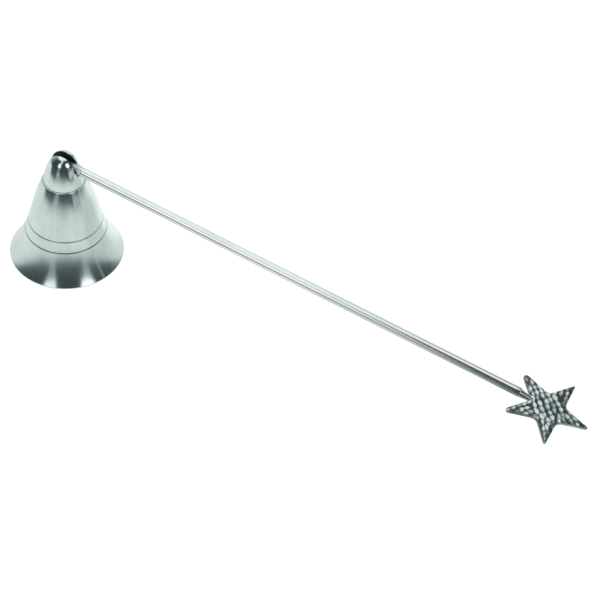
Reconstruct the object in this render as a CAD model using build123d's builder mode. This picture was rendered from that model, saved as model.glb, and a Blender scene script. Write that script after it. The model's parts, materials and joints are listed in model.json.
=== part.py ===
from build123d import *
import math
import os

# Candle snuffer: a turned bell with a slotted knob, a round rod that swings in the slot, and a cast star.
# Origin at the middle of the bell's mouth on the table, +Z up the bell's axis, +X along the handle.
# Lengths in millimetres, angles in degrees.

# Bell: a turned shell whose outline swells at the shoulder and flares at the lip
mouth_diameter = 50.0
bell_height = 42.4
crown_diameter = 18.9
bell_wall = 1.8
crown_thickness = 2.4
crown_edge_round = 0.35
lip_edge = 0.6
shoulder_angle = 26.0
lip_angle = 36.0
# Outline points, as shares of the way out from crown to lip and of the height above the lip's edge
crown_shares = (0.0, 1.0)
waist_shares = (0.303, 0.655)
upper_line_shares = (0.440, 0.459)
lower_line_shares = (0.541, 0.337)
lip_shares = (1.0, 0.0)
ring_line_width = 0.7

# Knob: an egg-shaped dome on the crown, sawn through for the rod
knob_diameter = 18.0
knob_height = 14.6
knob_nose_share = 0.72
knob_taper = 8.0
knob_edge_break = 0.25
pivot_rise = 9.64
slot_side_clearance = 0.12
slot_stop_clearance = 0.15

# Screw and washer that hold the knob from inside the bell
screw_diameter = 4.0
screw_head_diameter = 7.0
screw_head_height = 2.4
screw_driver_slot = 1.0
screw_clearance = 0.05
screw_hole_play = 0.25
knob_floor_web = 1.2
washer_diameter = 9.5
washer_thickness = 0.8

# Cross pin, filed flush with the dome
pin_diameter = 2.0
pin_seat_clearance = 0.02
pin_running_clearance = 0.05

# Handle rod: eye and rounded tail at the knob; at the star a neck stepped down from the top, and a tenon
handle_reach = 230.9
rod_diameter = 4.2
rod_tail = 3.0
neck_length = 5.7
neck_step = 0.5
neck_relief = 0.06
neck_end_diameter = 2.1
tenon_length = 4.0
tenon_diameter = 1.0

# Star: a cast slab with a bevelled face, one point outwards along the rod
star_points = 5
star_radius = 18.45
star_notch_share = 0.42
star_notch_fillet = 3.2
star_tip_fillet = 0.6
# The cast points are unevenly blunt: each one's fillet as a share, the outer point first
star_tip_fillet_shares = (1.0, 0.8, 2.3, 1.9, 1.0)
star_edge = 1.3
star_crown_rise = 0.8
star_crown_share = 0.8
star_seat_depth = 1.2
star_seat_land = 0.2
star_seat_clearance = 0.03

# Overrun of every cut past the faces that it opens, and the star's clearance above the table
cut_overrun = 2.0
table_clearance = 0.05

os.makedirs("parts", exist_ok=True)

mouth_radius = mouth_diameter / 2
crown_radius = crown_diameter / 2
knob_radius = knob_diameter / 2
screw_radius = screw_diameter / 2
rod_radius = rod_diameter / 2
pin_radius = pin_diameter / 2
pivot_height = bell_height + pivot_rise
crown_underside = bell_height - crown_thickness

# Corner of a notch, seen from the arm beside it
half_sector = math.radians(180 / star_points)
star_notch_radius = star_radius * star_notch_share
notch_along = star_notch_radius * math.cos(half_sector)
notch_beside = star_notch_radius * math.sin(half_sector)


def half_tip(tip_round):
    # Half the angle of an arm whose rounded point just reaches the star's radius
    round_along = star_radius - tip_round - notch_along
    lean = math.asin(tip_round / math.hypot(round_along, notch_beside))
    return math.atan2(notch_beside, round_along) - lean


# The rod enters the notch opposite the outer point
half_notch = half_tip(star_tip_fillet) + half_sector
star_notch_floor = star_notch_radius + star_notch_fillet * (1 / math.sin(half_notch) - 1)

# The star's back is flush with the underside of the rod, which droops until the outer point meets the table
star_axis_rise = rod_radius
tip_reach = handle_reach + star_radius
droop = math.asin((pivot_height - table_clearance) / math.hypot(tip_reach, star_axis_rise)) - math.atan2(
    star_axis_rise, tip_reach
)
rod_heading = (math.cos(droop), 0, -math.sin(droop))
rod_upward = (math.sin(droop), 0, math.cos(droop))

# The slot's floor lies just under the drooping rod where it leaves the knob, so its edges stop the swing
slot_width = rod_diameter + 2 * slot_side_clearance
slot_floor = (
    pivot_height
    - (rod_radius + slot_stop_clearance) / math.cos(droop)
    - knob_radius * math.tan(droop)
)
screw_hole_depth = slot_floor - bell_height - knob_floor_web


def bell_point(shares):
    out_share, up_share = shares
    radius = crown_radius + out_share * (mouth_radius - crown_radius)
    height = lip_edge + up_share * (bell_height - lip_edge)
    return (radius, height)


def downward(angle):
    return (math.sin(math.radians(angle)), -math.cos(math.radians(angle)))


bell_outline = [
    bell_point(shares)
    for shares in (crown_shares, waist_shares, upper_line_shares, lower_line_shares, lip_shares)
]
bell_lining = [(radius - bell_wall, height) for radius, height in bell_outline]
bell_ends = (downward(shoulder_angle), downward(lip_angle))

with BuildPart() as bell_cup:
    with BuildSketch(Plane.XZ):
        with BuildLine():
            skin = Spline(*bell_outline, tangents=bell_ends)
            Polyline(skin @ 1, (mouth_radius, 0), (0, 0), (0, bell_height), skin @ 0)
        make_face()
    revolve(axis=Axis.Z)
    fillet(bell_cup.edges().group_by(Axis.Z)[-1], crown_edge_round)
    # Inside of the shell, up to the underside of the crown
    with BuildSketch(Plane.XZ):
        with BuildLine():
            lining = Spline(*bell_lining, tangents=bell_ends)
            Polyline(
                lining @ 1,
                (mouth_radius - bell_wall, -cut_overrun),
                (0, -cut_overrun),
                (0, bell_height),
                lining @ 0,
            )
        make_face()
        with Locations((0, bell_height)):
            Rectangle(mouth_diameter, 2 * crown_thickness, mode=Mode.SUBTRACT)
    revolve(axis=Axis.Z, mode=Mode.SUBTRACT)
    # Two incised ring lines above the flare
    with BuildSketch(Plane.XZ):
        with Locations(bell_point(upper_line_shares), bell_point(lower_line_shares)):
            Circle(ring_line_width / 2)
    revolve(axis=Axis.Z, mode=Mode.SUBTRACT)
    # Hole for the knob's screw
    with BuildSketch(Plane.XY.offset(crown_underside)):
        Circle(screw_radius + screw_hole_play)
    extrude(amount=crown_thickness, mode=Mode.SUBTRACT)
bell_cup.part.label = "bell_cup"
export_step(bell_cup.part, "parts/bell_cup.step")

# Section of the knob: a flank that starts with a taper and runs tangent into the round nose
nose_radius = knob_nose_share * knob_radius
nose_height = knob_height - nose_radius
flank_normal = Vector(math.cos(math.radians(knob_taper)), math.sin(math.radians(knob_taper)))
flank_foot = Vector(knob_radius, 0)
nose_centre = Vector(0, nose_height)
foot_from_nose = flank_foot - nose_centre
flank_radius = (foot_from_nose.length**2 - nose_radius**2) / (
    2 * (flank_normal.dot(foot_from_nose) - nose_radius)
)
flank_centre = flank_foot - flank_normal * flank_radius
flank_top = nose_centre + (nose_centre - flank_centre).normalized() * nose_radius

knob_plane = Plane(origin=(0, 0, bell_height), x_dir=(1, 0, 0), z_dir=(0, -1, 0))
with BuildSketch(knob_plane) as knob_section:
    with BuildLine():
        flank = RadiusArc(flank_foot, flank_top, -flank_radius)
        nose = TangentArc(flank_top, (0, knob_height), tangent=flank % 1)
        Polyline(nose @ 1, (0, 0), flank @ 0)
    make_face()

pivot_plane = Plane(origin=(0, 0, pivot_height), x_dir=(1, 0, 0), z_dir=(0, -1, 0))

with BuildPart() as pivot_knob:
    revolve(knob_section.sketch, axis=Axis.Z)
    chamfer(pivot_knob.edges().group_by(Axis.Z)[0], knob_edge_break)
    # Slot right through the dome, in the plane of the handle's swing
    with BuildSketch(Plane.XY.offset(slot_floor)):
        Rectangle(knob_diameter + cut_overrun, slot_width)
    extrude(amount=bell_height + knob_height - slot_floor + cut_overrun, mode=Mode.SUBTRACT)
    # Pin hole across the two ears
    with BuildSketch(pivot_plane):
        Circle(pin_radius + pin_seat_clearance)
    extrude(amount=knob_radius + cut_overrun, both=True, mode=Mode.SUBTRACT)
    # Blind hole for the screw
    with BuildSketch(Plane.XY.offset(bell_height)):
        Circle(screw_radius + screw_clearance)
    extrude(amount=screw_hole_depth, mode=Mode.SUBTRACT)
pivot_knob.part.label = "pivot_knob"
export_step(pivot_knob.part, "parts/pivot_knob.step")

washer_underside = crown_underside - washer_thickness

with BuildPart() as crown_washer:
    with BuildSketch(Plane.XY.offset(washer_underside)):
        Circle(washer_diameter / 2)
        Circle(screw_radius + screw_hole_play, mode=Mode.SUBTRACT)
    extrude(amount=washer_thickness)
crown_washer.part.label = "crown_washer"
export_step(crown_washer.part, "parts/crown_washer.step")

with BuildPart() as knob_screw:
    with BuildSketch(Plane.XY.offset(washer_underside)):
        Circle(screw_head_diameter / 2)
    extrude(amount=-screw_head_height)
    fillet(knob_screw.edges().group_by(Axis.Z)[0], screw_head_height / 2)
    # Shank up to just short of the blind hole's end
    with BuildSketch(Plane.XY.offset(washer_underside)):
        Circle(screw_radius)
    extrude(amount=bell_height + screw_hole_depth - screw_clearance - washer_underside)
    # Driver slot
    with BuildSketch(Plane.XY.offset(washer_underside - screw_head_height)):
        Rectangle(screw_head_diameter + cut_overrun, screw_driver_slot)
    extrude(amount=screw_head_height / 2, mode=Mode.SUBTRACT)
knob_screw.part.label = "knob_screw"
export_step(knob_screw.part, "parts/knob_screw.step")

with BuildPart() as pivot_pin:
    with BuildSketch(pivot_plane):
        Circle(pin_radius)
    extrude(amount=knob_radius + cut_overrun, both=True)
    # Ends filed to the dome
    revolve(knob_section.sketch, axis=Axis.Z, mode=Mode.INTERSECT)
pivot_pin.part.label = "pivot_pin"
export_step(pivot_pin.part, "parts/pivot_pin.step")

# Places along the rod, measured from the pin
neck_end = handle_reach - star_notch_floor + star_seat_depth
neck_start = neck_end - neck_length
neck_start_radius = rod_radius - neck_step / 2 - neck_relief
neck_start_drop = neck_step / 2
neck_end_radius = neck_end_diameter / 2
neck_end_drop = star_axis_rise - star_seat_land - neck_end_radius
tenon_radius = tenon_diameter / 2
tenon_drop = star_axis_rise - (star_edge + star_crown_rise) / 2

rod_plane = Plane(origin=(0, 0, pivot_height), x_dir=rod_heading, z_dir=(0, -1, 0))
rod_axis = Axis((0, 0, pivot_height), rod_heading)


def rod_point(along, above):
    return (
        along * rod_heading[0] + above * rod_upward[0],
        0,
        pivot_height + along * rod_heading[2] + above * rod_upward[2],
    )


neck_start_plane = Plane(
    origin=rod_point(neck_start, -neck_start_drop), x_dir=(0, 1, 0), z_dir=rod_heading
)
neck_end_plane = Plane(origin=rod_point(neck_end, -neck_end_drop), x_dir=(0, 1, 0), z_dir=rod_heading)
tenon_plane = Plane(origin=rod_point(neck_end, -tenon_drop), x_dir=(0, 1, 0), z_dir=rod_heading)

with BuildPart() as handle_rod:
    with BuildSketch(rod_plane):
        with BuildLine():
            tail = RadiusArc(
                (-rod_tail, 0), (-math.sqrt(rod_tail**2 - rod_radius**2), rod_radius), rod_tail
            )
            Polyline(
                tail @ 1,
                (neck_start, rod_radius),
                (neck_start, 0),
                tail @ 0,
            )
        make_face()
    revolve(axis=rod_axis)
    # Neck that sinks from the rod's line into the star, with its tenon
    with BuildSketch(neck_start_plane):
        Circle(neck_start_radius)
    with BuildSketch(neck_end_plane):
        Circle(neck_end_radius)
    loft()
    with BuildSketch(tenon_plane):
        Circle(tenon_radius)
    extrude(amount=tenon_length)
    # Eye for the pin
    with BuildSketch(rod_plane):
        Circle(pin_radius + pin_running_clearance)
    extrude(amount=rod_radius + cut_overrun, both=True, mode=Mode.SUBTRACT)
handle_rod.part.label = "handle_rod"
export_step(handle_rod.part, "parts/handle_rod.step")


def star_outline(size_share):
    corners = []
    rounds = []
    for index in range(star_points):
        tip_round = star_tip_fillet * star_tip_fillet_shares[index % len(star_tip_fillet_shares)]
        tip_corner = notch_along + notch_beside / math.tan(half_tip(tip_round))
        for turn, reach, round_radius in (
            (2 * index, tip_corner, tip_round),
            (2 * index + 1, star_notch_radius, star_notch_fillet),
        ):
            angle = turn * half_sector
            corners.append((size_share * reach * math.cos(angle), size_share * reach * math.sin(angle)))
            rounds.append(size_share * round_radius)
    with BuildLine() as outline:
        FilletPolyline(*corners, radius=rounds, close=True)
    return outline.edges()


star_plane = Plane(origin=rod_point(handle_reach, -star_axis_rise), x_dir=rod_heading, z_dir=rod_upward)

with BuildPart() as star_finial:
    with BuildSketch(star_plane):
        make_face(star_outline(1))
    extrude(amount=star_edge)
    # Bevelled face
    with BuildSketch(star_plane.offset(star_edge)):
        make_face(star_outline(1))
    with BuildSketch(star_plane.offset(star_edge + star_crown_rise)):
        make_face(star_outline(star_crown_share))
    loft(ruled=True)
    # Seat for the rod's neck in the notch, and the blind hole for its tenon
    with BuildSketch(neck_start_plane):
        Circle(neck_start_radius + star_seat_clearance)
    with BuildSketch(neck_end_plane):
        Circle(neck_end_radius + star_seat_clearance)
    loft(mode=Mode.SUBTRACT)
    with BuildSketch(tenon_plane):
        Circle(tenon_radius + star_seat_clearance)
    extrude(amount=tenon_length, mode=Mode.SUBTRACT)
star_finial.part.label = "star_finial"
export_step(star_finial.part, "parts/star_finial.step")
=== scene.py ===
"""Looks of the candle snuffer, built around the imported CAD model. All lengths in metres."""

import json
import math

import bpy
import numpy as np
from mathutils import Matrix, Vector


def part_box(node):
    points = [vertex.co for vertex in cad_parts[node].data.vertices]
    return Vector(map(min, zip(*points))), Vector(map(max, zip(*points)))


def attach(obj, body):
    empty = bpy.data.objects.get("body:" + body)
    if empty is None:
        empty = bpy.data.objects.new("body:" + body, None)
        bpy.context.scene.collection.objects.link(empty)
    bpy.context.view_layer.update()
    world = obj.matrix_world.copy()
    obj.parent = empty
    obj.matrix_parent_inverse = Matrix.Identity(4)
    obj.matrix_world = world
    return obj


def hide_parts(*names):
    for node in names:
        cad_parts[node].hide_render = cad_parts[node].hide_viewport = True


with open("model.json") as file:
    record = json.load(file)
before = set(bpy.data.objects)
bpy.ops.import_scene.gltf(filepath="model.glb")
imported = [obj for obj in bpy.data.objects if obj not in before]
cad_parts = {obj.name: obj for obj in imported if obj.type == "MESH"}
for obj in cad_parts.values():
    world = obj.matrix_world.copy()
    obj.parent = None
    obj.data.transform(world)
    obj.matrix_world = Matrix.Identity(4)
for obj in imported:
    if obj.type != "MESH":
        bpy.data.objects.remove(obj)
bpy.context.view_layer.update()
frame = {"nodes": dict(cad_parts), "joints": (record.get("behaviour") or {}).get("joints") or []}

MM = 0.001

# Bell: outline points as shares of the way out from crown to lip and of the height above the lip's edge
CROWN_RADIUS = 9.45 * MM
BELL_WALL = 1.8 * MM
CROWN_THICKNESS = 2.4 * MM
CROWN_EDGE_ROUND = 0.35 * MM
LIP_EDGE = 0.6 * MM
SHOULDER_ANGLE = 26.0
LIP_ANGLE = 36.0
OUTLINE_SHARES = [(0.0, 1.0), (0.303, 0.655), (0.440, 0.459), (0.541, 0.337), (1.0, 0.0)]
RING_LINE_SHARES = OUTLINE_SHARES[2:4]
RING_LINE_WIDTH = 0.7 * MM
# How dark the ring lines are painted: shade in the grooves, with grime
RING_LINE_DARKNESS = [0.42, 0.7]
SCREW_HOLE_RADIUS = 2.25 * MM
EDGE_BREAK = 0.18 * MM

# Knob: flank arc and round nose, sawn through by a slot along X
KNOB_HEIGHT = 14.6 * MM
NOSE_SHARE = 0.72
KNOB_TAPER = 8.0
KNOB_FOOT_BREAK = 0.25 * MM
SLOT_HALF = 1.5 * MM
SLOT_SIDE_CLEARANCE = 0.1 * MM
SLOT_STOP_CLEARANCE = 0.15 * MM
SLOT_EDGE_ROUND = 0.22 * MM

# Handle: rod from the pivot, a neck stepped down from the top, and the star, flush with the rod's underside
HANDLE_REACH = 230.9 * MM
ROD_RADIUS = 2.1 * MM
ROD_TAIL = 3.0 * MM
TAIL_START_ANGLE = 0.05
TANG_REACH = 8.8 * MM
TANG_SHOULDER = 0.5 * MM
NECK_LENGTH = 5.7 * MM
NECK_STEP = 0.5 * MM
NECK_RELIEF = 0.06 * MM
NECK_END_RADIUS = 1.05 * MM
STAR_POINTS = 5
STAR_RADIUS = 18.45 * MM
STAR_NOTCH_SHARE = 0.42
STAR_NOTCH_FILLET = 3.2 * MM
STAR_TIP_FILLET = 0.6 * MM
STAR_TIP_FILLET_SHARES = [1.0, 0.8, 2.3, 1.9, 1.0]
STAR_EDGE = 1.3 * MM
STAR_CROWN_RISE = 0.8 * MM
STAR_CROWN_SHARE = 0.8
STAR_SEAT_DEPTH = 1.2 * MM
STAR_SEAT_LAND = 0.2 * MM
TABLE_CLEARANCE = 0.05 * MM

# Camera of the photograph: a long lens that looks down at the snuffer, in the photograph's 600 pixel frame
IMAGE_SIZE = 600
FOCAL_PIXELS = 2900.0
CAMERA_PITCH = math.radians(45.77)
CAMERA_ROLL = math.radians(2.13)
CAMERA_DISTANCE = 1.27489
CAMERA_AZIMUTH = math.radians(22.99)
MOUTH_PIXEL = (67.11, 248.98)
SENSOR_WIDTH = 36.0

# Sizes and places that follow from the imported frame
bell_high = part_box("bell_cup")[1]
knob_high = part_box("pivot_knob")[1]
MOUTH_RADIUS = bell_high.y
BELL_HEIGHT = bell_high.z
KNOB_RADIUS = knob_high.y
PIVOT_HEIGHT = frame["joints"][0]["pos_m"][2]

HALF_SECTOR = math.pi / STAR_POINTS
STAR_NOTCH_RADIUS = STAR_RADIUS * STAR_NOTCH_SHARE
NOTCH_ALONG = STAR_NOTCH_RADIUS * math.cos(HALF_SECTOR)
NOTCH_BESIDE = STAR_NOTCH_RADIUS * math.sin(HALF_SECTOR)


def half_tip(tip_round):
    """Half the angle of an arm whose rounded point just reaches the star's radius."""
    round_along = STAR_RADIUS - tip_round - NOTCH_ALONG
    lean = math.asin(tip_round / math.hypot(round_along, NOTCH_BESIDE))
    return math.atan2(NOTCH_BESIDE, round_along) - lean


HALF_NOTCH = half_tip(STAR_TIP_FILLET) + HALF_SECTOR
STAR_NOTCH_FLOOR = STAR_NOTCH_RADIUS + STAR_NOTCH_FILLET * (1 / math.sin(HALF_NOTCH) - 1)
STAR_AXIS_RISE = ROD_RADIUS
TIP_REACH = HANDLE_REACH + STAR_RADIUS
DROOP = math.asin((PIVOT_HEIGHT - TABLE_CLEARANCE) / math.hypot(TIP_REACH, STAR_AXIS_RISE)) - math.atan2(
    STAR_AXIS_RISE, TIP_REACH
)
SLOT_FLOOR = (
    PIVOT_HEIGHT
    - (ROD_RADIUS + SLOT_STOP_CLEARANCE) / math.cos(DROOP)
    - KNOB_RADIUS * math.tan(DROOP)
)

# The handle's own frame: x along the rod, y across it, z up from the star's face, origin at the pivot
ROD_FRAME = Matrix.Translation((0, 0, PIVOT_HEIGHT)) @ Matrix.Rotation(DROOP, 4, "Y")


def make_object(name, vertices, faces, material, body, stands_for, levels=None):
    """A mesh piece that rides on a body and stands for CAD nodes; levels are named values for each vertex."""
    mesh = bpy.data.meshes.new(name)
    mesh.from_pydata([tuple(v) for v in vertices], [], faces)
    mesh.polygons.foreach_set("use_smooth", [True] * len(mesh.polygons))
    mesh.set_sharp_from_angle(angle=math.radians(38))
    for level, values in (levels or {}).items():
        attribute = mesh.attributes.new(level, "FLOAT", "POINT")
        attribute.data.foreach_set("value", np.array(values, np.float32))
    mesh.materials.append(material)
    obj = bpy.data.objects.new(name, mesh)
    bpy.context.scene.collection.objects.link(obj)
    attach(obj, body)
    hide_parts(*stands_for)
    return obj


def smooth_step(value, low, high):
    """0 below low, 1 above high, and a smooth rise between."""
    t = np.clip((value - low) / (high - low), 0, 1)
    return t * t * (3 - 2 * t)


def smooth_curve(points, start_heading, end_heading, steps):
    """Points and arc shares along the smooth cubic curve through points, with set headings at its ends."""
    p = np.array(points)
    chord = np.linalg.norm(np.diff(p, axis=0), axis=1)
    count = len(p)
    system = np.zeros((count, count))
    target = np.zeros((count, 2))
    system[0, 0] = system[-1, -1] = 1
    target[0], target[-1] = start_heading, end_heading
    for i in range(1, count - 1):
        before, after = chord[i - 1], chord[i]
        system[i, i - 1 : i + 2] = after, 2 * (before + after), before
        target[i] = 3 * (after * (p[i] - p[i - 1]) / before + before * (p[i + 1] - p[i]) / after)
    slope = np.linalg.solve(system, target)
    curve = []
    for i in range(count - 1):
        t = np.linspace(0, 1, max(2, int(steps * chord[i] / chord.sum())), endpoint=False)[:, None]
        curve.append(
            (1 + 2 * t) * (1 - t) ** 2 * p[i]
            + t * (1 - t) ** 2 * chord[i] * slope[i]
            + t**2 * (3 - 2 * t) * p[i + 1]
            + t**2 * (t - 1) * chord[i] * slope[i + 1]
        )
    curve.append(p[-1:])
    return np.concatenate(curve)


def arc(centre, radius, start, end, steps):
    """Points on an arc, angles in radians."""
    return [
        (centre[0] + radius * math.cos(a), centre[1] + radius * math.sin(a))
        for a in np.linspace(start, end, steps)
    ]


def lathe_rings(profile, segments):
    """Vertices of rings about Z, one ring for each (radius, height) of the profile."""
    angles = np.linspace(0, 2 * math.pi, segments, endpoint=False)
    return [(r * math.cos(a), r * math.sin(a), z) for r, z in profile for a in angles]


def ring_faces(rings, segments, closed):
    """Quads between neighbouring rings; closed joins the last ring to the first."""
    faces = []
    for i in range(rings if closed else rings - 1):
        here, there = i * segments, ((i + 1) % rings) * segments
        for j in range(segments):
            k = (j + 1) % segments
            faces.append((here + j, here + k, there + k, there + j))
    return faces


# Materials


def new_material(name):
    """A material with a Principled shader; returns it, its nodes, its links and the shader."""
    material = bpy.data.materials.new(name)
    material.use_nodes = True
    tree = material.node_tree
    return material, tree.nodes, tree.links, tree.nodes["Principled BSDF"]


def noise(nodes, links, vector, scale, detail, roughness=0.5):
    """Noise from 0 to 1 at a place."""
    node = nodes.new("ShaderNodeTexNoise")
    node.inputs["Scale"].default_value = scale
    node.inputs["Detail"].default_value = detail
    node.inputs["Roughness"].default_value = roughness
    links.new(vector, node.inputs["Vector"])
    return node.outputs["Fac"]


def ramp(nodes, links, factor, low, high, low_colour, high_colour, between=()):
    """Colours between two places on a factor, with further stops as (place, colour) between them."""
    node = nodes.new("ShaderNodeValToRGB")
    first, last = node.color_ramp.elements
    first.position, last.position = low, high
    first.color, last.color = (*low_colour, 1), (*high_colour, 1)
    for place, colour in between:
        node.color_ramp.elements.new(place).color = (*colour, 1)
    links.new(factor, node.inputs["Fac"])
    return node.outputs["Color"]


def span(nodes, links, factor, low, high):
    """A factor from 0 to 1 mapped to the span from low to high."""
    node = nodes.new("ShaderNodeMapRange")
    node.inputs["To Min"].default_value = low
    node.inputs["To Max"].default_value = high
    links.new(factor, node.inputs["Value"])
    return node.outputs["Result"]


def stretched(nodes, links, scale):
    """Object coordinates stretched by a scale for each axis."""
    place = nodes.new("ShaderNodeTexCoord")
    mapping = nodes.new("ShaderNodeMapping")
    mapping.inputs["Scale"].default_value = scale
    links.new(place.outputs["Object"], mapping.inputs["Vector"])
    return mapping.outputs["Vector"]


def math_node(nodes, links, operation, first, second):
    """A Math node; either input is a socket or a number."""
    node = nodes.new("ShaderNodeMath")
    node.operation = operation
    for place, value in enumerate((first, second)):
        if isinstance(value, (int, float)):
            node.inputs[place].default_value = value
        else:
            links.new(value, node.inputs[place])
    return node.outputs["Value"]


def attribute(nodes, name):
    """A named value of the mesh, 0 where the mesh has none."""
    node = nodes.new("ShaderNodeAttribute")
    node.attribute_name = name
    return node.outputs["Fac"]


def turned_coordinates(nodes, links, ring_scale, round_scale):
    """Coordinates about Z: z counts rings over height and radius, x and y go round at one scale."""
    place = nodes.new("ShaderNodeTexCoord")
    parts = nodes.new("ShaderNodeSeparateXYZ")
    links.new(place.outputs["Object"], parts.inputs["Vector"])
    flat = nodes.new("ShaderNodeCombineXYZ")
    links.new(parts.outputs["X"], flat.inputs["X"])
    links.new(parts.outputs["Y"], flat.inputs["Y"])
    length = nodes.new("ShaderNodeVectorMath")
    length.operation = "LENGTH"
    links.new(flat.outputs["Vector"], length.inputs[0])
    heading = nodes.new("ShaderNodeVectorMath")
    heading.operation = "NORMALIZE"
    links.new(flat.outputs["Vector"], heading.inputs[0])
    turned = nodes.new("ShaderNodeVectorMath")
    turned.operation = "SCALE"
    turned.inputs["Scale"].default_value = round_scale
    links.new(heading.outputs["Vector"], turned.inputs[0])
    down = math_node(nodes, links, "SUBTRACT", length.outputs["Value"], parts.outputs["Z"])
    split = nodes.new("ShaderNodeSeparateXYZ")
    links.new(turned.outputs["Vector"], split.inputs["Vector"])
    joined = nodes.new("ShaderNodeCombineXYZ")
    links.new(split.outputs["X"], joined.inputs["X"])
    links.new(split.outputs["Y"], joined.inputs["Y"])
    links.new(math_node(nodes, links, "MULTIPLY", down, ring_scale), joined.inputs["Z"])
    return joined.outputs["Vector"]


def add_bump(nodes, links, shader, height, strength, distance):
    """Fine bump under the shader's finish."""
    bump = nodes.new("ShaderNodeBump")
    bump.inputs["Strength"].default_value = strength
    bump.inputs["Distance"].default_value = distance
    links.new(height, bump.inputs["Height"])
    links.new(bump.outputs["Normal"], shader.inputs["Normal"])


# Painted shade with soot: the dark colour of the bell's grooves, the knob's slot and the rod inside it
SHADE_AND_SOOT_COLOUR = (0.11, 0.155, 0.145)
RECESS_ROUGHNESS = 0.6


def paint_shade_and_soot(nodes, links, shader, colour, roughness):
    """Darkens the metal with painted shade, plus old polish and soot, wherever the mesh marks a hollow."""
    shade_and_soot = attribute(nodes, "shade_and_soot")
    mix = nodes.new("ShaderNodeMix")
    mix.data_type = "RGBA"
    links.new(shade_and_soot, mix.inputs["Factor"])
    links.new(colour, mix.inputs["A"])
    mix.inputs["B"].default_value = (*SHADE_AND_SOOT_COLOUR, 1)
    links.new(mix.outputs["Result"], shader.inputs["Base Color"])
    sooty = math_node(nodes, links, "MULTIPLY", shade_and_soot, RECESS_ROUGHNESS)
    links.new(math_node(nodes, links, "MAXIMUM", roughness, sooty), shader.inputs["Roughness"])


def turned_metal(name, dull, bright, rough_low, rough_high, anisotropy, mark_strength):
    """Cool grey metal with fine marks round the turning axis, faint rubbed streaks and an uneven polish."""
    material, nodes, links, shader = new_material(name)
    shader.inputs["Metallic"].default_value = 1.0
    # The marks run round, so they spread light along the outline
    shader.inputs["Anisotropic"].default_value = anisotropy
    shader.inputs["Anisotropic Rotation"].default_value = 0.25
    tangent = nodes.new("ShaderNodeTangent")
    tangent.direction_type = "RADIAL"
    tangent.axis = "Z"
    links.new(tangent.outputs["Tangent"], shader.inputs["Tangent"])
    marks = noise(nodes, links, turned_coordinates(nodes, links, 2600.0, 1.2), 1.0, 3.0, 0.6)
    streaks = noise(nodes, links, turned_coordinates(nodes, links, 45.0, 16.0), 1.0, 5.0, 0.65)
    handled = noise(nodes, links, stretched(nodes, links, (140, 140, 110)), 1.0, 5.0, 0.6)
    uneven = math_node(nodes, links, "ADD", math_node(nodes, links, "MULTIPLY", streaks, 0.35),
                       math_node(nodes, links, "MULTIPLY", handled, 0.65))
    colour = ramp(nodes, links, uneven, 0.36, 0.64, dull, bright)
    roughness = math_node(nodes, links, "ADD", span(nodes, links, marks, rough_low, rough_high),
                          span(nodes, links, uneven, 0.04, -0.04))
    paint_shade_and_soot(nodes, links, shader, colour, roughness)
    add_bump(nodes, links, shader, marks, mark_strength, 0.02 * MM)
    return material


def polished_rod_metal(name):
    """Drawn and polished rod: bright, with faint scratches along it."""
    material, nodes, links, shader = new_material(name)
    shader.inputs["Metallic"].default_value = 1.0
    scratches = noise(nodes, links, stretched(nodes, links, (60, 2400, 2400)), 1.0, 2.0)
    handled = noise(nodes, links, stretched(nodes, links, (50, 160, 160)), 1.0, 4.0)
    colour = ramp(nodes, links, handled, 0.35, 0.65, (0.73, 0.79, 0.785), (0.80, 0.86, 0.85))
    roughness = span(nodes, links, scratches, 0.06, 0.18)
    paint_shade_and_soot(nodes, links, shader, colour, roughness)
    add_bump(nodes, links, shader, scratches, 0.10, 0.01 * MM)
    return material


def antiqued_metal(name):
    """Cast metal, bright on the raised pads and dark in the hollows, read from the piece's relief."""
    material, nodes, links, shader = new_material(name)
    shader.inputs["Metallic"].default_value = 1.0
    grain = noise(nodes, links, stretched(nodes, links, (1500, 1500, 1500)), 1.0, 4.0)
    patches = noise(nodes, links, stretched(nodes, links, (190, 190, 190)), 1.0, 2.0)
    wear = span(nodes, links, patches, 0.5, 1.5)
    rubbed = math_node(nodes, links, "MULTIPLY", attribute(nodes, "relief"), wear)
    level = math_node(nodes, links, "ADD", rubbed, span(nodes, links, grain, -0.16, 0.16))
    tarnish = [(0.2, (0.17, 0.225, 0.217)), (0.45, (0.42, 0.525, 0.51))]
    links.new(
        ramp(nodes, links, level, 0.0, 0.76, (0.075, 0.105, 0.101), (0.9, 1.0, 0.985), tarnish),
        shader.inputs["Base Color"],
    )
    links.new(span(nodes, links, level, 0.52, 0.2), shader.inputs["Roughness"])
    add_bump(nodes, links, shader, grain, 0.25, 0.03 * MM)
    return material


def dark_metal(name, colour, roughness_low, roughness_high):
    """Plain steel of the hidden fasteners, with fine grain."""
    material, nodes, links, shader = new_material(name)
    shader.inputs["Metallic"].default_value = 1.0
    grain = noise(nodes, links, stretched(nodes, links, (900, 900, 900)), 1.0, 4.0)
    darker = tuple(0.7 * c for c in colour)
    links.new(ramp(nodes, links, grain, 0.3, 0.7, darker, colour), shader.inputs["Base Color"])
    links.new(span(nodes, links, grain, roughness_low, roughness_high), shader.inputs["Roughness"])
    add_bump(nodes, links, shader, grain, 0.15, 0.02 * MM)
    return material


SATIN = turned_metal("satin_bell", (0.65, 0.775, 0.745), (0.74, 0.875, 0.845), 0.14, 0.21, 0.65, 0.25)
POLISH = turned_metal("polished_knob", (0.66, 0.78, 0.75), (0.75, 0.87, 0.84), 0.10, 0.18, 0.3, 0.15)
ROD_POLISH = polished_rod_metal("polished_rod")
ANTIQUE = antiqued_metal("antiqued_star")
STEEL = dark_metal("fastener_steel", (0.46, 0.47, 0.48), 0.3, 0.5)


# Bell


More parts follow.
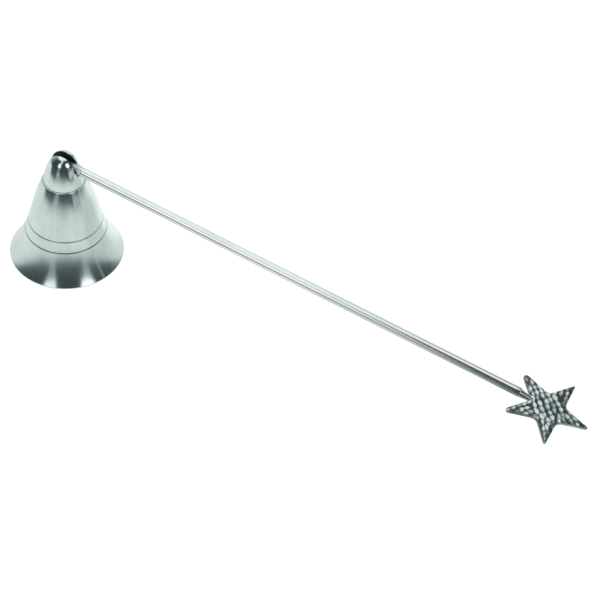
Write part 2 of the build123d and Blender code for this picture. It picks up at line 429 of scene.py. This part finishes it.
def bell_outline(inset, steps):
    """The bell's outline from crown to lip, moved inwards by inset."""
    points = [
        (
            CROWN_RADIUS + out * (MOUTH_RADIUS - CROWN_RADIUS) - inset,
            LIP_EDGE + up * (BELL_HEIGHT - LIP_EDGE),
        )
        for out, up in OUTLINE_SHARES
    ]
    headings = [
        (math.sin(math.radians(a)), -math.cos(math.radians(a))) for a in (SHOULDER_ANGLE, LIP_ANGLE)
    ]
    return smooth_curve(points, headings[0], headings[1], steps)


def cut_ring_lines(outline):
    """Sinks round grooves into the outline at the two ring lines; also gives each point's painted shade and
    grime, which grows with how deep it lies.
    """
    cut = outline.copy()
    shade_and_soot = np.zeros(len(outline))
    tangent = np.gradient(outline, axis=0)
    tangent /= np.linalg.norm(tangent, axis=1)[:, None]
    inward = np.stack([tangent[:, 1], -tangent[:, 0]], 1)
    half = RING_LINE_WIDTH / 2
    for (out, up), dark in zip(RING_LINE_SHARES, RING_LINE_DARKNESS):
        middle = np.array(
            (
                CROWN_RADIUS + out * (MOUTH_RADIUS - CROWN_RADIUS),
                LIP_EDGE + up * (BELL_HEIGHT - LIP_EDGE),
            )
        )
        away = np.linalg.norm(outline - middle, axis=1)
        depth = np.sqrt(np.clip(half**2 - away**2, 0, None))
        cut += inward * depth[:, None]
        # The grooves get painted shade, with grime, that grows with their depth
        shade_and_soot = np.maximum(shade_and_soot, dark * smooth_step(depth, 0.3 * half, 0.9 * half))
    return cut, shade_and_soot


def build_bell():
    """The turned shell: rounded crown edge, skin with two ring lines, rounded rim, and the lining."""
    quarter = math.pi / 2
    skin, skin_shade_and_soot = cut_ring_lines(bell_outline(0, 480))
    lean = math.radians(SHOULDER_ANGLE)
    bend = CROWN_EDGE_ROUND * math.tan((quarter - lean) / 2)
    below_bend = np.linalg.norm(skin - skin[0], axis=1) > bend
    skin, skin_shade_and_soot = skin[below_bend], skin_shade_and_soot[below_bend]
    crown_centre = (CROWN_RADIUS - bend, BELL_HEIGHT - CROWN_EDGE_ROUND)
    crown_edge = arc(crown_centre, CROWN_EDGE_ROUND, quarter, lean, 8)
    underside = BELL_HEIGHT - CROWN_THICKNESS
    lining = [tuple(p) for p in bell_outline(BELL_WALL, 120)[::-1] if p[1] < underside - EDGE_BREAK]
    foot = arc((MOUTH_RADIUS - EDGE_BREAK, EDGE_BREAK), EDGE_BREAK, 0, -quarter, 5)
    inner_foot = arc(
        (MOUTH_RADIUS - BELL_WALL + EDGE_BREAK, EDGE_BREAK), EDGE_BREAK, -quarter, -2 * quarter, 5
    )
    before = [(SCREW_HOLE_RADIUS, BELL_HEIGHT)] + crown_edge
    after = foot + inner_foot + lining
    after += [(lining[-1][0] - EDGE_BREAK, underside), (SCREW_HOLE_RADIUS, underside)]
    profile = before + [tuple(p) for p in skin] + after
    shade_and_soot = [0.0] * len(before) + list(skin_shade_and_soot) + [0.0] * len(after)
    segments = 192
    vertices = lathe_rings(profile, segments)
    faces = ring_faces(len(profile), segments, closed=True)
    levels = {"shade_and_soot": np.repeat(shade_and_soot, segments)}
    return make_object("bell", vertices, faces, SATIN, "bell", ["bell_cup"], levels)


# Knob


class KnobSection:
    """The knob's section: a flank that starts with a taper and runs tangent into the round nose."""

    def __init__(self, inset):
        self.nose_height = KNOB_HEIGHT - NOSE_SHARE * KNOB_RADIUS
        nose_radius = NOSE_SHARE * KNOB_RADIUS
        taper = math.radians(KNOB_TAPER)
        foot = Vector((KNOB_RADIUS, -self.nose_height))
        normal = Vector((math.cos(taper), math.sin(taper)))
        flank_radius = (foot.length_squared - nose_radius**2) / (2 * (normal.dot(foot) - nose_radius))
        self.centre = Vector((KNOB_RADIUS, 0)) - normal * flank_radius
        self.flank = flank_radius - inset
        self.nose = nose_radius - inset
        lean = math.atan2(self.nose_height - self.centre.y, -self.centre.x)
        self.join = self.nose_height + self.nose * math.sin(lean)

    def radius_at(self, height):
        """Radius at a height above the crown."""
        if height < self.join:
            return self.centre.x + math.sqrt(self.flank**2 - (height - self.centre.y) ** 2)
        return math.sqrt(max(0.0, self.nose**2 - (height - self.nose_height) ** 2))

    def height_at(self, radius):
        """Height of the nose at a radius."""
        return self.nose_height + math.sqrt(self.nose**2 - radius**2)


def build_knob():
    """The knob as a turned foot with two ears beside the slot."""
    outer = KnobSection(0)
    inner = KnobSection(SLOT_EDGE_ROUND)
    slot_level = SLOT_FLOOR - BELL_HEIGHT
    ear_half = SLOT_HALF + SLOT_EDGE_ROUND
    gap_steps, ear_steps, floor_steps, rows = 8, 72, 24, 48
    vertices = []
    shade_and_soot = []
    faces = []

    def add(x, y, z, dark=0.0):
        vertices.append((x, y, z + BELL_HEIGHT))
        shade_and_soot.append(dark)
        return len(vertices) - 1

    def strip(first, second):
        for k in range(len(first) - 1):
            faces.append((first[k], first[k + 1], second[k + 1], second[k]))

    # Full rings up to the slot's floor, with corners where the ears begin
    corner = math.asin(ear_half / outer.radius_at(slot_level))
    gap = list(np.linspace(-corner, corner, gap_steps + 1))
    ear = list(np.linspace(corner, math.pi - corner, ear_steps + 1))
    angles = gap[:-1] + ear[:-1] + [a + math.pi for a in gap[:-1]] + [a + math.pi for a in ear[:-1]]
    segments = len(angles)
    heights = [KNOB_FOOT_BREAK * t for t in (1.0, 1.6)]
    heights += list(np.linspace(KNOB_FOOT_BREAK * 2.5, slot_level, 24))
    foot_ring = (outer.radius_at(0) - KNOB_FOOT_BREAK, 0.0)
    profile = [foot_ring] + [(outer.radius_at(z), z) for z in heights]
    # The lowest ring, at the foot's joint with the crown, is painted dark as shade with soot
    rings = [
        [add(r * math.cos(a), r * math.sin(a), z, float(z < KNOB_FOOT_BREAK)) for a in angles]
        for r, z in profile
    ]
    for lower, upper in zip(rings, rings[1:]):
        strip(lower + lower[:1], upper + upper[:1])
    faces.append(tuple(reversed(rings[0])))
    top = rings[-1]

    # Slot floor, a grid from one side of the knob to the other, painted dark as shade with soot
    right_edge = top[: gap_steps + 1]
    start = gap_steps + ear_steps
    left_edge = top[start : start + gap_steps + 1][::-1]
    floor = [right_edge]
    for k in range(1, floor_steps):
        t = k / floor_steps
        row = []
        for a, b in zip(right_edge, left_edge):
            x = vertices[a][0] * (1 - t) + vertices[b][0] * t
            row.append(add(x, vertices[a][1], slot_level, 1.0))
        floor.append(row)
    floor.append(left_edge)
    for first, second in zip(floor, floor[1:]):
        strip(first, second)

    # Two ears: outer skin in arcs, flat wall beside the slot, and a rounded edge between them; the walls are
    # painted dark as shade with soot
    skin_top = outer.height_at(ear_half)
    wall_top = inner.height_at(SLOT_HALF)
    for side, first_arc in ((1, top[gap_steps : gap_steps + ear_steps + 1]),
                            (-1, top[start + gap_steps :] + top[:1])):
        edge_row = [row[-1] if side == 1 else row[0] for row in floor]
        if side == -1:
            edge_row = edge_row[::-1]
        last_arc, last_wall = first_arc, edge_row
        for k in range(1, rows):
            t = math.sin(math.pi / 2 * k / rows)
            z = slot_level + t * (skin_top - slot_level)
            radius = outer.radius_at(z)
            begin = math.asin(min(1.0, ear_half / radius))
            sweep = np.linspace(begin, math.pi - begin, ear_steps + 1)
            skin_row = [add(side * radius * math.cos(a), side * radius * math.sin(a), z) for a in sweep]
            z_wall = slot_level + t * (wall_top - slot_level)
            reach = math.sqrt(max(0.0, inner.radius_at(z_wall) ** 2 - SLOT_HALF**2))
            wall_row = [
                add(side * x, side * SLOT_HALF, z_wall, 1.0)
                for x in np.linspace(reach, -reach, floor_steps + 1)
            ]
            strip(last_arc, skin_row)
            strip(wall_row, last_wall)
            for end in (0, -1):
                quad = (last_arc[end], skin_row[end], wall_row[end], last_wall[end])
                faces.append(quad if end == -1 else quad[::-1])
            last_arc, last_wall = skin_row, wall_row
        crest = add(0, side * ear_half, skin_top)
        ridge = add(0, side * SLOT_HALF, wall_top, 1.0)
        for k in range(ear_steps):
            faces.append((last_arc[k], last_arc[k + 1], crest))
        for k in range(floor_steps):
            faces.append((last_wall[k + 1], last_wall[k], ridge))
        faces.append((crest, last_arc[-1], last_wall[-1], ridge))
        faces.append((last_arc[0], crest, ridge, last_wall[0]))
    levels = {"shade_and_soot": shade_and_soot}
    return make_object("knob", vertices, faces, POLISH, "bell", ["pivot_knob"], levels)


# Rod


def build_rod():
    """The rod: a rounded tail filed flat to fit the knob's slot, and the neck that sinks into the star."""
    neck_end = HANDLE_REACH - STAR_NOTCH_FLOOR + STAR_SEAT_DEPTH
    neck_start = neck_end - NECK_LENGTH
    tail_angle = math.asin(ROD_RADIUS / ROD_TAIL)
    tang_half = SLOT_HALF - SLOT_SIDE_CLEARANCE
    # Each ring: place along the handle, radius, and how far its middle lies below the rod's line
    rings = [
        (-ROD_TAIL * math.cos(a), ROD_TAIL * math.sin(a), 0.0)
        for a in np.linspace(TAIL_START_ANGLE, tail_angle, 10)
    ]
    rings += [(x, ROD_RADIUS, 0.0) for x in np.linspace(rings[-1][0], TANG_REACH, 12)[1:]]
    rings += [(x, ROD_RADIUS, 0.0) for x in np.linspace(TANG_REACH, TANG_REACH + TANG_SHOULDER, 5)[1:]]
    rings += [(x, ROD_RADIUS, 0.0) for x in np.linspace(rings[-1][0], neck_start - EDGE_BREAK, 90)[1:]]
    rings += [
        (neck_start - EDGE_BREAK * (1 - math.sin(a)), ROD_RADIUS - EDGE_BREAK * (1 - math.cos(a)), 0.0)
        for a in np.linspace(0, math.pi / 2, 5)[1:]
    ]
    start_radius = ROD_RADIUS - NECK_STEP / 2 - NECK_RELIEF
    end_drop = STAR_AXIS_RISE - STAR_SEAT_LAND - NECK_END_RADIUS
    for t in np.linspace(0, 1, 12):
        radius = start_radius + t * (NECK_END_RADIUS - start_radius)
        drop = NECK_STEP / 2 + t * (end_drop - NECK_STEP / 2)
        rings.append((neck_start + t * NECK_LENGTH, radius, drop))
    segments = 96
    angles = np.linspace(0, 2 * math.pi, segments, endpoint=False)
    vertices = []
    for x, r, drop in rings:
        in_shoulder = float(np.clip((x - TANG_REACH) / TANG_SHOULDER, 0, 1))
        flat = tang_half + in_shoulder * (ROD_RADIUS - tang_half)
        for a in angles:
            beside = max(-flat, min(flat, r * math.cos(a)))
            vertices.append(ROD_FRAME @ Vector((x, beside, r * math.sin(a) - drop)))
    faces = ring_faces(len(rings), segments, closed=False)
    faces.append(tuple(reversed(range(segments))))
    faces.append(tuple(range(len(vertices) - segments, len(vertices))))
    # Painted shade, with soot, where the rod lies in the knob's slot, fading out just past it
    along = np.array([ring[0] for ring in rings])
    slot_shade = 1 - 0.55 * smooth_step(along, 0.45 * KNOB_RADIUS, 0.62 * KNOB_RADIUS)
    slot_shade -= 0.45 * smooth_step(along, 0.75 * KNOB_RADIUS, 1.15 * KNOB_RADIUS)
    levels = {"shade_and_soot": np.repeat(slot_shade, segments)}
    return make_object("rod", vertices, faces, ROD_POLISH, "handle", ["handle_rod"], levels)


# Star


def star_outline(points_apart):
    """Outline of the star about its centre, with rounded points and notches, as (x, y) in order."""
    corners = []
    for i in range(2 * STAR_POINTS):
        tip_round = STAR_TIP_FILLET * STAR_TIP_FILLET_SHARES[i // 2]
        reach = STAR_NOTCH_RADIUS
        if i % 2 == 0:
            reach = NOTCH_ALONG + NOTCH_BESIDE / math.tan(half_tip(tip_round))
        place = Vector((math.cos(i * HALF_SECTOR), math.sin(i * HALF_SECTOR))) * reach
        corners.append((place, tip_round if i % 2 == 0 else STAR_NOTCH_FILLET))
    outline = []
    for i, (corner, radius) in enumerate(corners):
        back = (corners[i - 1][0] - corner).normalized()
        onward = (corners[(i + 1) % len(corners)][0] - corner).normalized()
        half = back.angle(onward) / 2
        centre = corner + (back + onward).normalized() * (radius / math.sin(half))
        start = corner + back * (radius / math.tan(half)) - centre
        end = corner + onward * (radius / math.tan(half)) - centre
        begin = math.atan2(start.y, start.x)
        turn = math.remainder(math.atan2(end.y, end.x) - begin, 2 * math.pi)
        bend = arc(centre, radius, begin, begin + turn, max(7, int(abs(turn) * radius / points_apart)))
        if outline:
            outline += straight(outline[-1], bend[0], points_apart)
        outline += bend
    outline += straight(outline[-1], outline[0], points_apart)
    return np.array(outline)


def straight(start, end, points_apart):
    """Points strictly between two places, evenly spaced."""
    start, end = np.array(start), np.array(end)
    steps = max(2, int(np.linalg.norm(end - start) / points_apart))
    return [tuple(start + (end - start) * k / steps) for k in range(1, steps)]


# Hammered pads: leaf shapes in slanted rows over the middle, and the same rows turned for each arm
PAD_ROW_STEP = Vector((2.12, -2.2)) * MM
PAD_NEXT_ROW = Vector((3.65, -0.05)) * MM
PAD_HALF_LENGTH = 2.1 * MM
PAD_HALF_WIDTH = 1.14 * MM
PAD_SADDLE = 0.17
PAD_FILL = 1.25
PAD_EDGE = 1.3
PAD_TONES = (0.58, 1.12)
PAD_TIP_WEAR = 0.5
PAD_CORE_HEADING = -43.0
PAD_ARM_HEADINGS = [-30.0, -72.0, -45.0, 55.0, -64.0]
PAD_CORE_REACH = 7.6 * MM
PAD_ARM_SHARE = 0.9
PAD_POWER = 1.3
PAD_FLAT_FROM = 0.6
PAD_JITTER = 0.25 * MM
PAD_SLANT_SPREAD = 9
PAD_SIZES = (0.85, 1.15)
PAD_SEED = 7
PAD_GROOVE = 0.26 * MM
PAD_LEAN = math.radians(8.0)
PAD_FACING = (math.sin(CAMERA_AZIMUTH), -math.cos(CAMERA_AZIMUTH))
EDGE_TONE = 0.45
CENTRE_TONE = 0.6
STAR_EDGE_ROUND = 0.25 * MM
STAR_BORDER = 0.5 * MM
STAR_POINTS_APART = 0.17 * MM
STAR_FACE_RINGS = 110
STAR_RING_POWER = 1.12


def pad_places():
    """Places, headings, sizes and tones of the pads."""
    pads = []
    steps = range(-12, 13)
    random = np.random.default_rng(PAD_SEED)
    for region in range(-1, STAR_POINTS):
        heading = PAD_CORE_HEADING if region < 0 else PAD_ARM_HEADINGS[region]
        share = 1.0 if region < 0 else PAD_ARM_SHARE
        turn = Matrix.Rotation(math.radians(heading - PAD_CORE_HEADING), 2)
        for i in steps:
            for j in steps:
                shift = random.normal(0, PAD_JITTER, 2)
                slant = math.radians(heading + random.normal(0, PAD_SLANT_SPREAD))
                size = share * random.uniform(*PAD_SIZES)
                tone = random.uniform(*PAD_TONES)
                place = np.array(turn @ (PAD_ROW_STEP * i + PAD_NEXT_ROW * j)) * share + shift
                reach = np.hypot(*place)
                arm = round(math.atan2(place[1], place[0]) / (2 * HALF_SECTOR)) % STAR_POINTS
                inside = reach < PAD_CORE_REACH if region < 0 else reach >= PAD_CORE_REACH and arm == region
                tone *= 1 - PAD_TIP_WEAR * smooth_step(reach, 0.6 * STAR_RADIUS, 0.9 * STAR_RADIUS)
                if inside and reach < STAR_RADIUS:
                    pads.append((*place, math.cos(slant), math.sin(slant), size, tone))
    return np.array(pads)


def pad_relief(pads, x, y):
    """How far up its pad a place lies, 0 in the grooves to 1; the pad's tone; the height of its lean."""
    dx = x[:, None] - pads[None, :, 0]
    dy = y[:, None] - pads[None, :, 1]
    along = np.abs(dx * pads[:, 2] + dy * pads[:, 3]) / (PAD_HALF_LENGTH * pads[:, 4])
    across = np.abs(dy * pads[:, 2] - dx * pads[:, 3]) / (PAD_HALF_WIDTH * pads[:, 4])
    away = (along**PAD_POWER + across**PAD_POWER) ** (1 / PAD_POWER)
    nearest = np.argmin(away, axis=1)
    row = np.arange(len(x))
    towards = dx[row, nearest] * PAD_FACING[0] + dy[row, nearest] * PAD_FACING[1]
    away = np.sort(away, axis=1)
    relief = np.minimum(PAD_FILL - away[:, 0], PAD_SADDLE + PAD_EDGE * (away[:, 1] - away[:, 0]))
    return np.clip(relief, 0, 1), pads[nearest, 5], -math.tan(PAD_LEAN) * towards


def build_star():
    """The cast star: flat back, rounded edge, and a crowned face of raised pads with dark hollows."""
    outline = star_outline(STAR_POINTS_APART)
    pads = pad_places()
    count = len(outline)
    shares = 1 - np.linspace(0, 1, STAR_FACE_RINGS)[:-1] ** STAR_RING_POWER
    vertices = []
    relief = []
    faces = []

    def ring(share, heights, levels):
        start = len(vertices)
        vertices.extend((*(outline[k] * share), heights[k]) for k in range(count))
        relief.extend(levels)
        return range(start, start + count)

    def join(first, second):
        for k in range(count):
            n = (k + 1) % count
            faces.append((first[k], first[n], second[n], second[k]))

    flat = np.zeros(count)
    inset = 1 - STAR_EDGE_ROUND / STAR_NOTCH_FLOOR
    sides = [
        ring(0.55, flat, flat + EDGE_TONE),
        ring(inset, flat, flat + EDGE_TONE),
        ring(1 - 0.3 * (1 - inset), flat + 0.3 * STAR_EDGE_ROUND, flat + EDGE_TONE),
        ring(1.0, flat + STAR_EDGE_ROUND, flat + EDGE_TONE),
        ring(1.0, flat + STAR_EDGE - STAR_EDGE_ROUND, flat + EDGE_TONE),
    ]
    bottom = len(vertices)
    vertices.append((0.0, 0.0, 0.0))
    relief.append(EDGE_TONE)
    for k in range(count):
        faces.append((sides[0][(k + 1) % count], sides[0][k], bottom))
    tops = []
    for share in shares:
        x, y = outline[:, 0] * share, outline[:, 1] * share
        pad, tone, lean = pad_relief(pads, x, y)
        raised = np.sin(np.pi / 2 * np.clip(pad / PAD_FLAT_FROM, 0, 1))
        from_edge = np.full(count, STAR_NOTCH_FLOOR * (1 - share))
        inside = smooth_step(from_edge, 0.1 * STAR_BORDER, STAR_BORDER)
        crown = STAR_CROWN_RISE * min(1.0, (1 - share) / (1 - STAR_CROWN_SHARE))
        top = STAR_EDGE + crown - PAD_GROOVE * (1 - raised * inside) + lean * raised * inside
        tops.append(ring(share, top, tone * pad * inside + EDGE_TONE * (1 - inside)))
    centre = len(vertices)
    vertices.append((0.0, 0.0, STAR_EDGE + STAR_CROWN_RISE - PAD_GROOVE * 0.5))
    relief.append(CENTRE_TONE)
    loops = sides + tops
    for lower, upper in zip(loops, loops[1:]):
        join(lower, upper)
    last = loops[-1]
    for k in range(count):
        faces.append((last[k], last[(k + 1) % count], centre))
    star_frame = ROD_FRAME @ Matrix.Translation((HANDLE_REACH, 0, -STAR_AXIS_RISE))
    placed = [star_frame @ Vector(v) for v in vertices]
    levels = {"relief": relief}
    return make_object("star", placed, faces, ANTIQUE, "handle", ["star_finial"], levels)


# Studio


CAMERA_RIGHT = np.array((math.cos(CAMERA_AZIMUTH), math.sin(CAMERA_AZIMUTH)))
CAMERA_AWAY = np.array((-math.sin(CAMERA_AZIMUTH), math.cos(CAMERA_AZIMUTH)))


# The studio's dark parts are a cold grey: levels from and to which the tint fades, and its colours
STUDIO_TINT = (0.05, 0.40, (0.78, 0.95, 1.06), (1.0, 1.0, 1.0))

# Levels of the table to the camera, of its own colour and of the world's soft fill, and sizes of the studio
TABLE_GLOW = 0.80
TABLE_PALENESS = 0.8
WORLD_FILL = 0.45
TABLE_RADII = (0.004, 6.0)
DOME_RADIUS = 1.85


def band(value, low, high, soft):
    """1 between low and high, 0 outside, with soft edges."""
    return smooth_step(value, low - soft, low + soft) * (1 - smooth_step(value, high - soft, high + soft))


def table_level(places):
    """Brightness of the table in reflections: bright under and behind the snuffer, dark in front of it."""
    right, away = places @ CAMERA_RIGHT, places @ CAMERA_AWAY
    reach = np.hypot(right, away)
    azimuth = np.degrees(np.arctan2(right, -away))
    before_rod = -away - math.tan(CAMERA_AZIMUTH) * right
    ahead = np.where(right > 0, before_rod, reach * smooth_step(azimuth, -98, -78))
    front = np.exp(-np.maximum(ahead - 0.115, 0) / (0.2 - 0.06 * smooth_step(azimuth, -15, 8)))
    left = 1 - smooth_step(ahead, 0.11, 0.27)
    level = left + (front - left) * smooth_step(azimuth, -50, -35)
    # Beside the rod the light falls off faster towards the star
    beside = smooth_step(right, 0.06, 0.13)
    nearer = smooth_step(right, 0.11, 0.165)
    fall = np.exp(-np.maximum(before_rod, 0) / (0.16 - 0.138 * nearer))
    by_neck = band(right, 0.184, 0.2, 0.006) * (before_rod > 0)
    level = np.minimum(level, (1 - beside * (1 - fall)) * (1 - by_neck))
    # The rod and its shadow darken the strip behind it, and the table darkens to the right of it
    level = level * (1 - 0.2 * band(right, 0.045, 0.17, 0.02) * band(before_rod, -0.07, 0.012, 0.012))
    level = level * (1 - 0.55 * band(azimuth, 72, 105, 8) * smooth_step(reach, 0.12, 0.36))
    level = 0.085 + 0.755 * level * (1 - 0.4 * smooth_step(reach, 0.25, 0.7))
    level = level + 0.2 * band(azimuth, 112, 172, 10) * (1 - smooth_step(reach, 0.5, 1.0))
    # Each window throws a glare along the table
    left_glare = 0.5 * band(azimuth, -39, -20, 3) * smooth_step(reach, 0.3, 0.45)
    right_glare = 0.6 * band(azimuth, 37, 64, 4) * smooth_step(reach, 0.21, 0.29)
    return np.maximum(level, np.maximum(left_glare, right_glare))


def glow_material(name):
    """A material of one Emission shader; returns it, its nodes, its links and the shader."""
    material = bpy.data.materials.new(name)
    material.use_nodes = True
    nodes, links = material.node_tree.nodes, material.node_tree.links
    nodes.clear()
    glow = nodes.new("ShaderNodeEmission")
    output = nodes.new("ShaderNodeOutputMaterial")
    links.new(glow.outputs["Emission"], output.inputs["Surface"])
    return material, nodes, links, glow


def stage_mesh(name, vertices, faces, levels, material):
    """A studio mesh with a brightness for each vertex."""
    mesh = bpy.data.meshes.new(name)
    mesh.from_pydata(vertices, [], faces)
    mesh.attributes.new("level", "FLOAT", "POINT").data.foreach_set("value", np.array(levels, np.float32))
    mesh.materials.append(material)
    obj = bpy.data.objects.new(name, mesh)
    bpy.context.scene.collection.objects.link(obj)
    return obj


def add_floor():
    """White table: white to the camera with a soft shadow, and shaded as a studio in reflections."""
    material, nodes, links, glow = glow_material("white_table")
    path = nodes.new("ShaderNodeLightPath").outputs
    seen = math_node(nodes, links, "MAXIMUM", path["Is Camera Ray"], path["Is Transmission Ray"])
    mirrored = math_node(nodes, links, "MULTIPLY", path["Is Glossy Ray"], attribute(nodes, "level"))
    white = math_node(nodes, links, "MULTIPLY", seen, TABLE_GLOW)
    strength = math_node(nodes, links, "ADD", white, mirrored)
    links.new(strength, glow.inputs["Strength"])
    links.new(ramp(nodes, links, strength, *STUDIO_TINT), glow.inputs["Color"])
    matt = nodes.new("ShaderNodeBsdfDiffuse")
    pale = math_node(nodes, links, "SUBTRACT", 1.0, path["Is Glossy Ray"])
    links.new(math_node(nodes, links, "MULTIPLY", pale, TABLE_PALENESS), matt.inputs["Color"])
    both = nodes.new("ShaderNodeAddShader")
    links.new(glow.outputs["Emission"], both.inputs[0])
    links.new(matt.outputs["BSDF"], both.inputs[1])
    links.new(both.outputs["Shader"], nodes["Material Output"].inputs["Surface"])
    around, rings = 240, 90
    radii = np.geomspace(*TABLE_RADII, rings)
    angles = np.linspace(0, 2 * math.pi, around, endpoint=False)
    places = np.array([(r * math.cos(a), r * math.sin(a)) for r in radii for a in angles])
    faces = [face[::-1] for face in ring_faces(rings, around, closed=False)]
    faces.append(tuple(range(around)))
    stage_mesh("floor", [(x, y, 0.0) for x, y in places], faces, table_level(places), material)


def dome_level(azimuth, elevation):
    """Brightness of the studio dome, by degrees right of the camera's side and degrees above the table."""
    beside = smooth_step(np.abs(azimuth), 85, 125)
    behind_left = smooth_step(-azimuth, 100, 150)
    behind_right = smooth_step(azimuth, 144, 155)
    level = 0.065 + beside * (0.25 + 0.25 * behind_left) + 0.55 * behind_right
    ceiling = 62 + 14 * np.cos(np.radians(azimuth))
    level = level + (1.05 - level) * smooth_step(elevation, ceiling - 6, ceiling + 6)
    # Left window: wider than the wall below it, and its right edge leans over above the snuffer as a strip
    lean = -19 + 4 * smooth_step(elevation, 8, 34) + 31 * smooth_step(elevation, 40, 84)
    short_of_edge = 1 - smooth_step(azimuth, lean - 2, lean + 2)
    opening = smooth_step(elevation, 14, 24)
    left = smooth_step(azimuth, -35 - 7 * opening, -31 - 7 * opening) * short_of_edge
    strip = smooth_step(azimuth, -30, -27) * short_of_edge
    # Right window
    right = band(azimuth, 37 - 8 * opening, 51 + 6 * smooth_step(elevation, 18, 25), 2)
    pane = band(elevation, 17, 46, 2)
    skirt = 0.27 * band(elevation, 1, 17, 2)
    above = band(elevation, 46, 85, 3)
    level = np.maximum(level, left * (1.25 * pane + skirt))
    level = np.maximum(level, strip * 0.88 * above)
    return np.maximum(level, right * (1.7 * pane + skirt))


def add_dome():
    """Studio dome seen only in reflections: dark, two tall windows on the camera's side, white overhead."""
    material, nodes, links, glow = glow_material("studio_dome")
    level = attribute(nodes, "level")
    links.new(level, glow.inputs["Strength"])
    links.new(ramp(nodes, links, level, *STUDIO_TINT), glow.inputs["Color"])
    around, up = 720, 180
    azimuths = np.linspace(-180, 180, around, endpoint=False)
    vertices, levels = [], []
    for elevation in np.linspace(-1, 89.5, up):
        high = math.radians(elevation)
        headings = np.radians(azimuths) + CAMERA_AZIMUTH
        for a in headings:
            flat = DOME_RADIUS * math.cos(high)
            vertices.append((flat * math.sin(a), -flat * math.cos(a), DOME_RADIUS * math.sin(high)))
        levels.extend(dome_level(azimuths, elevation))
    dome = stage_mesh("studio_dome", vertices, ring_faces(up, around, closed=False), levels, material)
    dome.visible_camera = False
    dome.visible_diffuse = False
    dome.visible_transmission = False
    dome.visible_shadow = False


def add_world():
    """White to the camera, in reflections and through glass, and a plain soft fill for all else."""
    world = bpy.data.worlds.new("studio")
    bpy.context.scene.world = world
    world.use_nodes = True
    nodes, links = world.node_tree.nodes, world.node_tree.links
    background = nodes["Background"]
    background.inputs["Color"].default_value = (1, 1, 1, 1)
    path = nodes.new("ShaderNodeLightPath").outputs
    seen = math_node(nodes, links, "MAXIMUM", path["Is Camera Ray"], path["Is Glossy Ray"])
    seen = math_node(nodes, links, "MAXIMUM", seen, path["Is Transmission Ray"])
    links.new(span(nodes, links, seen, WORLD_FILL, 1.0), background.inputs["Strength"])


def add_camera():
    """The photograph's camera, from the fitted pitch, roll and distance."""
    forward = Vector((0, math.cos(CAMERA_PITCH), -math.sin(CAMERA_PITCH)))
    level_right = Vector((1, 0, 0))
    level_up = level_right.cross(forward)
    right = math.cos(CAMERA_ROLL) * level_right + math.sin(CAMERA_ROLL) * level_up
    up = -math.sin(CAMERA_ROLL) * level_right + math.cos(CAMERA_ROLL) * level_up
    across = (MOUTH_PIXEL[0] - IMAGE_SIZE / 2) / FOCAL_PIXELS * CAMERA_DISTANCE
    above = -(MOUTH_PIXEL[1] - IMAGE_SIZE / 2) / FOCAL_PIXELS * CAMERA_DISTANCE
    position = -(across * right + above * up + CAMERA_DISTANCE * forward)
    turn = Matrix((right, up, -forward)).transposed().to_4x4()
    data = bpy.data.cameras.new("camera")
    data.sensor_width = SENSOR_WIDTH
    data.lens = SENSOR_WIDTH * FOCAL_PIXELS / IMAGE_SIZE
    data.clip_end = 50.0
    camera = bpy.data.objects.new("camera", data)
    bpy.context.scene.collection.objects.link(camera)
    camera.matrix_world = Matrix.Rotation(CAMERA_AZIMUTH, 4, "Z") @ Matrix.Translation(position) @ turn
    bpy.context.scene.camera = camera


bpy.context.scene.view_settings.view_transform = "Standard"
build_bell()
build_knob()
build_rod()
build_star()
for node, metal in (("knob_screw", STEEL), ("crown_washer", STEEL), ("pivot_pin", POLISH)):
    frame["nodes"][node].data.materials.clear()
    frame["nodes"][node].data.materials.append(metal)
add_floor()
add_dome()
add_world()
add_camera()
